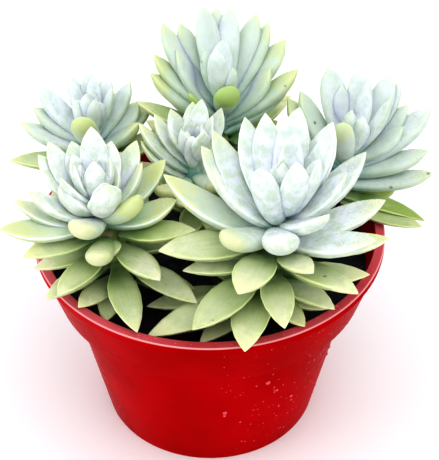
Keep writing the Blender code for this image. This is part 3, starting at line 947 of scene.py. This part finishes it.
# %% Rows of shade leaves
SHADE_LEAVES = {
    "front_right": (
        (35, 204, 0, 33, 10), (29, 330, 6, 24, 9), (24, 160, 4, 26, 9), (26, 120, 6, 22, 9),
        (22, 80, 4, 24, 9), (30, 50, 2, 22, 8), (17, 105, 12, 25, 9), (18, 62, 10, 24, 9),
        (31, 140, 0, 22, 8), (19, 145, 10, 25, 9),
    ),
    "front_left": (
        (31, 338, 8, 24, 7), (27, 262, -4, 22, 8), (20, 20, 0, 24, 9), (11, 276, 12, 16, 9),
        (24, 60, 4, 24, 9), (26, 100, 4, 22, 8), (28, 150, 0, 22, 8), (18, 125, 12, 24, 9),
        (18, 82, 12, 23, 9), (19, 165, 10, 23, 9), (31, 85, 0, 20, 8),
    ),
    "middle": (
        (18, 315, 0, 20, 8), (22, 225, 0, 20, 8), (20, 60, 5, 20, 8), (24, 120, 4, 20, 8),
        (16, 95, 12, 19, 8),
    ),
    "back": (
        (20, 300, 4, 20, 9), (22, 235, 2, 20, 9), (22, 90, 5, 24, 9), (27, 60, 2, 23, 8),
        (26, 130, 4, 24, 9), (18, 118, 12, 25, 9), (17, 75, 14, 25, 9), (31, 100, 0, 20, 8),
        (19, 160, 8, 24, 9), (19, 35, 8, 23, 9),
    ),
    "back_left": (
        (20, 320, 5, 18, 8), (22, 110, 4, 22, 9), (25, 60, 2, 20, 8), (26, 170, 16, 18, 8),
        (16, 140, 14, 22, 9), (17, 85, 12, 22, 9), (28, 130, 2, 17, 8),
    ),
    "back_right": (
        (18, 325, 5, 33, 8), (18, 250, 4, 22, 9), (22, 90, 12, 20, 9), (23, 50, 24, 18, 8),
        (24, 135, 4, 22, 9), (17, 110, 14, 22, 9), (18, 65, 20, 20, 9), (29, 115, 2, 18, 8),
    ),
}
print(sum(len(rows) for rows in SHADE_LEAVES.values()), "leaves in the shade")

# %% Leaves in the shade
STEM_START = 4.0  # how far from the axis a leaf on the bare stem starts
SHADE_POWDER = 0.7  # how much of its shoot's powder a shade leaf has
SHADE_RIPE = 0.2
for shoot, rows in SHADE_LEAVES.items():
    powder, warmth = LEAF_POWDER[shoot]
    skin = SHADE_POWDER * powder, warmth, SHADE_RIPE
    leaves = [grow_leaf("shade_leaf", "lower", *place_row(shoot, row, STEM_START), skin) for row in rows]
    shaded = join_pieces(leaves)
    finish_piece(shaded, f"{shoot}_shade_leaves", lower_finish, [])
    print(shaded.name, len(rows))

# %% [markdown]
# ## The stems
#
# Below its leaves a shoot is bare, pale green to brown, and ringed by the scars of fallen leaves.
# A ready cylinder would be too smooth, so a ring is laid at the stem's foot and extruded upwards,
# each scar a slightly wider ring, and the whole is rounded.

# %% Stems
STEM_RINGS = 9
STEM_SIDES = 14
STEM_WAIST = 0.93  # the foot's radius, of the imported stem's
SCAR_SWELL = 1.12  # how much wider a scar is than the stem
STEM_TAPER = 0.985  # from one ring to the next


def model_stem(shoot):
    """A tapering stem with leaf scars."""
    axis = axes[shoot]
    radius = max(axis.distance(Vector(point)) for point in node_points(f"{shoot}_stem"))
    step = (axis.end - axis.foot) / (2 * STEM_RINGS)
    nothing_selected()
    bpy.ops.mesh.primitive_circle_add(
        vertices=STEM_SIDES, radius=radius * STEM_WAIST, fill_type="NGON",
        location=axis.foot, rotation=axis.rotation(),
    )
    stem = bpy.context.object
    bpy.ops.object.transform_apply()
    edit_all()
    for number in range(2 * STEM_RINGS):
        bpy.ops.mesh.extrude_region_move(TRANSFORM_OT_translate={"value": step})
        swell = STEM_TAPER * (SCAR_SWELL if number % 2 else 1 / SCAR_SWELL)
        bpy.ops.transform.resize(value=(swell,) * 3, center_override=axis.foot + step * (number + 1))
    face_outwards()
    apply_modifier(stem, "SUBSURF", levels=1, render_levels=1)
    bpy.ops.object.shade_smooth()
    return stem


def start_finish(name, colour, roughness):
    """A new material with its node tree, its shader and the place on the object."""
    made = plain_material(name, colour, roughness)
    tree = made.node_tree
    return made, tree, tree.nodes["Principled BSDF"], object_place(tree)


stem_finish, tree, shader, place = start_finish("bare_stem", (0.3, 0.36, 0.15), roughness=0.6)
corky = ramped(tree, noise_value(tree, place, scale=240, detail=4), 0.4, 0.65)
stem_colour = mixed(tree, corky, (0.26, 0.35, 0.12, 1), (0.3, 0.26, 0.12, 1))
fill_inputs(tree, shader, {"Base Color": stem_colour})
for shoot in SHOOTS:
    stem = model_stem(shoot)
    finish_piece(stem, f"{shoot}_bare_stem", stem_finish, [f"{shoot}_stem"])
print(len(SHOOTS), "stems of", len(stem.data.polygons), "faces")

# %% [markdown]
# ## The pot
#
# A thin pot, moulded in one piece: a tapered body, a step out to a flared collar, and a thick flat
# rim. A turned shape can be spun from a profile, but here a circle is extruded and resized ring by
# ring, up the outside, over the rim and down the inside, because each ring then has a name and a
# size. The drain holes are then cut, and Bevel rounds all the edges as a mould does.

# %% Pot rings
POT_HEIGHT = pot_high[2] - pot_low[2]
RIM_RADIUS = (pot_high[0] - pot_low[0]) / 2
WALL = 1.4 * MM
POT_FLOOR = 1.6 * MM
BASE_RADIUS = 35.4 * MM
NECK_RADIUS = 45.2 * MM  # just under the collar
COLLAR_RADIUS = 49.4 * MM
COLLAR_FOOT = 50.6 * MM
RIM_WIDTH = 3.0 * MM
RIM_DEPTH = 2.6 * MM
RIM_OVERHANG = 0.9 * MM  # beyond the collar
RIM_SLOPE = 0.5 * MM  # how far the rim's underside rises outwards
FLOOR_FLARE = 0.3 * MM  # how much wider the pot is at its floor's top than at its foot
POT_RINGS = (  # (radius, height) up the outside, over the rim and down the inside
    (BASE_RADIUS, 0.0),
    (NECK_RADIUS, COLLAR_FOOT - WALL),
    (COLLAR_RADIUS, COLLAR_FOOT),
    (RIM_RADIUS - RIM_OVERHANG, POT_HEIGHT - RIM_DEPTH - RIM_SLOPE),
    (RIM_RADIUS, POT_HEIGHT - RIM_DEPTH),
    (RIM_RADIUS, POT_HEIGHT),
    (RIM_RADIUS - RIM_WIDTH, POT_HEIGHT),
    (RIM_RADIUS - RIM_WIDTH, POT_HEIGHT - RIM_DEPTH),
    (COLLAR_RADIUS - WALL, COLLAR_FOOT + WALL),
    (NECK_RADIUS - WALL, COLLAR_FOOT),
    (BASE_RADIUS + FLOOR_FLARE - WALL, POT_FLOOR),
)
print(len(POT_RINGS), "rings")

# %% Pot shape
POT_SEGMENTS = 128
DRAIN_HOLES = 5
DRAIN_RADIUS = 3.5 * MM
DRAIN_CIRCLE = 26 * MM
DRAIN_CUT = 8 * MM  # the cutters' length, half of it below the floor
MOULD_ROUNDING = 0.45 * MM
ROUNDED_FROM = math.radians(12)  # the least angle of an edge that is rounded
SMOOTH_UP_TO = math.radians(40)


def model_drain_holes():
    """The cutters of the drain holes, in a circle under the pot."""
    cutters = []
    for number in range(DRAIN_HOLES):
        turn = 2 * math.pi * (number + 0.5) / DRAIN_HOLES
        nothing_selected()
        bpy.ops.mesh.primitive_cylinder_add(
            vertices=24, radius=DRAIN_RADIUS, depth=DRAIN_CUT,
            location=(DRAIN_CIRCLE * math.cos(turn), DRAIN_CIRCLE * math.sin(turn), 0),
        )
        cutters.append(bpy.context.object)
    return cutters


def model_pot():
    """The pot, ring by ring."""
    nothing_selected()
    radius, height = POT_RINGS[0]
    bpy.ops.mesh.primitive_circle_add(vertices=POT_SEGMENTS, radius=radius, fill_type="NGON")
    pot = bpy.context.object
    edit_all()
    for next_radius, next_height in POT_RINGS[1:]:
        move = {"value": (0, 0, next_height - height)}
        bpy.ops.mesh.extrude_region_move(TRANSFORM_OT_translate=move)
        share = next_radius / radius
        bpy.ops.transform.resize(value=(share, share, 1), center_override=(0, 0, next_height))
        radius, height = next_radius, next_height
    face_outwards()
    for hole in model_drain_holes():
        apply_modifier(pot, "BOOLEAN", object=hole, operation="DIFFERENCE", solver="EXACT")
        bpy.data.objects.remove(hole)
    edges = {"limit_method": "ANGLE", "angle_limit": ROUNDED_FROM}
    apply_modifier(pot, "BEVEL", width=MOULD_ROUNDING, segments=3, **edges)
    bpy.ops.object.shade_smooth_by_angle(angle=SMOOTH_UP_TO)
    return pot


pot = model_pot()
print("pot", tuple(round(value, 4) for value in pot.dimensions), len(pot.data.polygons), "faces")

# %% [markdown]
# ## The pot's finish
#
# Red plastic, a little darker in clouds. A paler red is painted on the left as a reflection, dried
# specks splash the right, and the top of the rim is painted paler as a reflection of the sky, with
# a painted highlight along its outer edge. Each is a mask from a noise or from the place on the
# pot, and mixes in a paler red. A pale studio would wash the red out with its reflection, so the
# plastic reflects very little.

# %% Red plastic, its painted reflection and specks
red_plastic, tree, shader, place = start_finish("red_plastic", (0.5, 0.0, 0.008), roughness=0.3)
across, deep, high = add_node(tree, "ShaderNodeSeparateXYZ", {0: place}).outputs
cloudy = noise_value(tree, place, scale=35, detail=4)
clouds = ramped(tree, cloudy, 0.2, 0.8)
pot_colour = mixed(tree, clouds, (0.36, 0.0, 0.001, 1), (0.5, 0.0, 0.005, 1))
# a paler red painted on the left side as a reflection, broken up by the clouds
painted_left_reflection = product(tree, ramped(tree, across, -52 * MM, -10 * MM, 0.1, 0.0), clouds)
pot_colour = mixed(tree, painted_left_reflection, pot_colour, (0.75, 0.3, 0.32, 1))
specks = ramped(tree, cell_distance(tree, place, scale=420), 0.1, 0.2, 0.25, 0.0)
splashes = ramped(tree, noise_value(tree, place, scale=70, detail=2), 0.5, 0.62)
splashed = product(tree, splashes, ramped(tree, across, -10 * MM, 20 * MM), specks)
pot_colour = mixed(tree, splashed, pot_colour, (0.8, 0.4, 0.42, 1))
print(red_plastic.name, len(tree.nodes), "nodes so far")

# %% Painted reflection and highlight on the rim
# the top of the rim is painted paler in clouds, as a reflection of the sky
painted_sky_on_rim = ramped(tree, high, POT_HEIGHT - 0.7 * MM, POT_HEIGHT - 0.1 * MM, 0.0, 0.45)
pot_colour = mixed(tree, product(tree, painted_sky_on_rim, cloudy), pot_colour, (0.85, 0.4, 0.45, 1))
level = add_node(tree, "ShaderNodeCombineXYZ", {0: across, 1: deep}).outputs[0]
from_axis = add_node(tree, "ShaderNodeVectorMath", {0: level}, operation="LENGTH").outputs["Value"]
# a thin painted highlight along the rim's outer top edge
outermost = ramped(tree, from_axis, RIM_RADIUS - 0.5 * MM, RIM_RADIUS - 0.2 * MM, 0.0, 0.6)
topmost = ramped(tree, high, POT_HEIGHT - 0.5 * MM, POT_HEIGHT - 0.2 * MM)
moulded = noise_value(tree, place, scale=900, detail=2)
shader_inputs = {
    "Base Color": mixed(tree, product(tree, outermost, topmost), pot_colour, (0.95, 0.5, 0.52, 1)),
    "Roughness": ramped(tree, cloudy, 0.2, 0.8, 0.22, 0.36),
    "Normal": relief_normal(tree, moulded, strength=0.15, depth=0.05 * MM),
    "Specular IOR Level": 0.003,
    "Specular Tint": (1.0, 0.16, 0.18, 1),
}
fill_inputs(tree, shader, shader_inputs)
finish_piece(pot, "nursery_pot", red_plastic, ["pot"])
print(red_plastic.name, len(tree.nodes), "nodes")

# %% [markdown]
# ## The soil
#
# Dark, wet potting mix, uneven and crumbly. It could be sculpted, but a disc cut fine by insets and
# displaced by a clouds texture gives lumps of one size all over. Crumbs of bark come later.

# %% Soil surface
SOIL_RADIUS = RIM_RADIUS - 4.6 * MM
SOIL_RINGS = 22
SOIL_RING_WIDTH = 2.0 * MM
SOIL_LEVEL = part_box("soil")[1][2] - 1.5 * MM
LUMP_SIZE = 4 * MM
LUMP_HEIGHT = 2.4 * MM
nothing_selected()
bpy.ops.mesh.primitive_circle_add(
    vertices=96, radius=SOIL_RADIUS, fill_type="NGON", location=(0, 0, SOIL_LEVEL)
)
soil = bpy.context.object
bpy.ops.object.transform_apply()
edit_all()
for ring in range(SOIL_RINGS):
    bpy.ops.mesh.inset(thickness=SOIL_RING_WIDTH, depth=0)
bpy.ops.mesh.merge(type="CENTER")
bpy.ops.object.mode_set(mode="OBJECT")
crumbly = bpy.data.textures.new("crumbly", "CLOUDS")
crumbly.noise_scale = LUMP_SIZE
crumbly.noise_depth = 3
apply_modifier(soil, "SUBSURF", levels=1, render_levels=1, subdivision_type="SIMPLE")
apply_modifier(soil, "DISPLACE", texture=crumbly, strength=LUMP_HEIGHT, mid_level=0.5, direction="Z")
bpy.ops.object.shade_smooth()
print("soil", tuple(round(value, 4) for value in soil.dimensions), len(soil.data.polygons), "faces")

# %% Soil finish
wet_peat, tree, shader, place = start_finish("wet_peat", (0.012, 0.011, 0.013), roughness=0.75)
lumps = noise_value(tree, place, scale=700, detail=5, rough=0.65)
dry = ramped(tree, lumps, 0.35, 0.7)
shader_inputs = {
    "Base Color": mixed(tree, dry, (0.003, 0.004, 0.008, 1), (0.022, 0.018, 0.016, 1)),
    "Roughness": ramped(tree, lumps, 0.35, 0.65, 0.45, 0.9),
    "Normal": relief_normal(tree, lumps, strength=0.7, depth=0.5 * MM),
    "Specular IOR Level": 0.25,
}
fill_inputs(tree, shader, shader_inputs)
finish_piece(soil, "potting_mix", wet_peat, ["soil"])
print(wet_peat.name, len(tree.nodes), "nodes")

# %% [markdown]
# ## Crumbs and dew
#
# Bits of bark lie on the soil, and drops of water on the pot, its rim and the powdery leaves. A
# particle system could scatter them, but it would have to be made real for each copy. Here each is
# modelled once with few faces, and then copied with a mesh of its own, turned and resized, onto
# points on the finished surface, most of them found by casting rays at it. The copies are joined to
# one piece.

# %% Scattering
ANY_TURN = (0, 6.28)  # radians


def surface_of(piece):
    """A search tree of a finished piece, for casting rays at."""
    points = [vert.co for vert in piece.data.vertices]
    return BVHTree.FromPolygons(points, [face.vertices[:] for face in piece.data.polygons])


def scatter(blank, spots, name, material):
    """Copies a blank onto (point, normal, size) spots and joins the copies to one piece."""
    place = read_points(blank.data)
    copies = []
    for point, normal, size in spots:
        copy = blank.copy()
        copy.data = blank.data.copy()
        bpy.context.collection.objects.link(copy)
        spin = Matrix.Rotation(draw.uniform(*ANY_TURN), 3, "Z")
        turn = normal.to_track_quat("Z", "Y").to_matrix() @ spin
        move_points(copy.data, place @ (np.array(turn).T * size) + np.array(point))
        copies.append(copy)
    bpy.data.objects.remove(blank)
    joined = join_pieces(copies)
    finish_piece(joined, name, material, [])
    print(name, len(spots), "copies,", len(joined.data.polygons), "faces")


# %% A crumb of bark
CRUMB_SHAPE = (1, 0.62, 0.45)
nothing_selected()
bpy.ops.mesh.primitive_ico_sphere_add(subdivisions=1, radius=1)
crumb = bpy.context.object
bpy.ops.object.mode_set(mode="EDIT")
bpy.ops.transform.resize(value=CRUMB_SHAPE)
bpy.ops.transform.vertex_random(offset=0.22, seed=4)
bpy.ops.object.mode_set(mode="OBJECT")
bark, tree, shader, place = start_finish("wet_bark", (0.02, 0.013, 0.01), roughness=0.6)
fibre = noise_value(tree, place, scale=500, detail=4)
light = ramped(tree, fibre, 0.35, 0.65)
shader_inputs = {
    "Base Color": mixed(tree, light, (0.008, 0.007, 0.008, 1), (0.045, 0.028, 0.018, 1)),
    "Roughness": ramped(tree, fibre, 0.3, 0.7, 0.4, 0.8),
}
fill_inputs(tree, shader, shader_inputs)
print("crumb", len(crumb.data.polygons), "faces")

# %% Crumbs on the soil
CRUMBS = 240
CRUMBED_RADIUS = RIM_RADIUS - 6 * MM
CRUMB_TILT = 0.4
CRUMB_SIZES = (0.35, 1.3)  # least and greatest, in millimetres
soil_surface = surface_of(soil)
spots = []
while len(spots) < CRUMBS:
    turn = draw.uniform(0, 2 * math.pi)
    reach = CRUMBED_RADIUS * math.sqrt(draw.random())
    above = Vector((reach * math.cos(turn), reach * math.sin(turn), pot_high[2]))
    point, normal, _, _ = soil_surface.ray_cast(above, DOWN)
    if point:
        aside = draw.uniform(-CRUMB_TILT, CRUMB_TILT), draw.uniform(-CRUMB_TILT, CRUMB_TILT), 0
        spots.append((point, (normal + Vector(aside)).normalized(), draw.uniform(*CRUMB_SIZES) * MM))
scatter(crumb, spots, "bark_crumbs", bark)

# %% A drop of water
DROP_HEIGHT = 0.55  # of its radius
WATER_IOR = 1.33


def drop_material(name, colour, roughness, transmission, smoothest, roughest):
    """Water whose base colour is painted light: the red pot seen through drops on it, and the white
    sparkle of drops on the leaves.
    """
    made, tree, shader, place = start_finish(name, colour, roughness)
    ripple = noise_value(tree, place, scale=900, detail=1)
    shader_inputs = {
        "Roughness": ramped(tree, ripple, 0.3, 0.7, smoothest, roughest),
        "Transmission Weight": transmission,
        "IOR": WATER_IOR,
    }
    fill_inputs(tree, shader, shader_inputs)
    return made


def model_drop():
    """A flattened bead of water, one unit in radius."""
    nothing_selected()
    bpy.ops.mesh.primitive_uv_sphere_add(segments=8, ring_count=5, radius=1)
    drop = bpy.context.object
    edit_all()
    bpy.ops.transform.resize(value=(1, 1, DROP_HEIGHT))
    bpy.ops.object.mode_set(mode="OBJECT")
    bpy.ops.object.shade_smooth()
    return drop


# both drop colours are painted light: a whitish colour for the sparkle of drops on the leaves, and a
# paler red for the red pot seen through drops on it
water = drop_material("water", (0.97, 0.98, 1.0), 0.04, transmission=0.35, smoothest=0.02, roughest=0.08)
painted_red_drop = drop_material(
    "drop_painted_red", (0.95, 0.14, 0.17), 0.08, transmission=0.3, smoothest=0.04, roughest=0.15
)
print("drop materials", water.name, painted_red_drop.name)

# %% Dew on the pot
OUTSIDE = 0.1  # metres from the pot's axis, well clear of its wall
FINE_DROPS = (0.1, 0.42, 0.15)  # least, greatest and commonest size, in millimetres
BIG_DROPS = (0.5, 1.0, 0.6)
RIM_DROPS = (0.15, 0.5, 0.25)
WET_WALL = (-100, 20, -35)  # least, greatest and commonest direction, in degrees
WET_RIM = (-130, 10)
FROM_RIM_EDGE = (0.6, 2.5)  # least and greatest distance inwards, in millimetres


def wall_spots(count, low, high, sizes):
    """Random points on the pot's outside, on its right and front."""
    surface = surface_of(pot)
    found = []
    while len(found) < count:
        out = compass(math.radians(draw.triangular(*WET_WALL)))
        height = Vector((0, 0, draw.uniform(low, high)))
        point, normal, _, _ = surface.ray_cast(out * OUTSIDE + height, -out)
        if point:
            found.append((point, normal, draw.triangular(*sizes) * MM))
    return found


def rim_spots(count):
    """Random points on the flat top of the rim, at the front and on the right."""
    found = []
    for _ in range(count):
        turn = math.radians(draw.uniform(*WET_RIM))
        reach = RIM_RADIUS - draw.uniform(*FROM_RIM_EDGE) * MM
        point = Vector((reach * math.cos(turn), reach * math.sin(turn), POT_HEIGHT))
        found.append((point, UP, draw.triangular(*RIM_DROPS) * MM))
    return found


pot_spots = wall_spots(130, low=6 * MM, high=66 * MM, sizes=FINE_DROPS)
pot_spots += wall_spots(8, low=10 * MM, high=48 * MM, sizes=BIG_DROPS)
pot_spots += rim_spots(50)
scatter(model_drop(), pot_spots, "pot_dew", painted_red_drop)

# %% Dew on the leaves
WET_LEAVES = {
    "front_right": (
        (9, 5, 19, 33, 11), (9, 326, 22, 34, 12), (7, 272, 31, 22, 11), (6, 22, 36, 33, 11),
    ),
    "front_left": ((7, 355, 24, 24, 10), (6, 250, 31, 19, 9)),
    "back_right": ((6, 12, 35, 33, 12), (8, 355, 21, 28, 10), (12, 347, 16, 31, 9)),
}
DROPS_PER_LEAF = 60
LEAF_DROPS = (0.1, 0.34, 0.14)
WET_PART = (0.35, 1.0, 0.9)  # least, greatest and commonest share of the leaf's length
OVER_LEAF = Vector((0, 0, 4 * MM))  # how far above the row's own line the rays start


def leaf_spots(piece, shoot, row, count):
    """Random points on the outer part of a crown leaf, found from above."""
    foot, tip, width = place_row(shoot, row, CROWN_START)
    surface = surface_of(piece)
    sideways = UP.cross(tip - foot).normalized()
    found = []
    for _ in range(count):
        share = draw.triangular(*WET_PART)
        aside = draw.uniform(-0.5, 0.5) * width * math.sin(math.pi * share) ** 0.5
        above = foot.lerp(tip, share) + sideways * aside + OVER_LEAF
        point, normal, _, _ = surface.ray_cast(above, DOWN)
        if point and normal.z > 0:
            found.append((point, normal, draw.triangular(*LEAF_DROPS) * MM))
    return found


for shoot, rows in WET_LEAVES.items():
    crown = bpy.data.objects[f"{shoot}_rosette"]
    spots = [spot for row in rows for spot in leaf_spots(crown, shoot, row, DROPS_PER_LEAF)]
    scatter(model_drop(), spots, f"{shoot}_dew", water)

# %% [markdown]
# ## The end
#
# The blanks have done their work and are removed.

# %% Clearing up and finishing
for blank in BLANKS.values():
    bpy.data.objects.remove(blank)
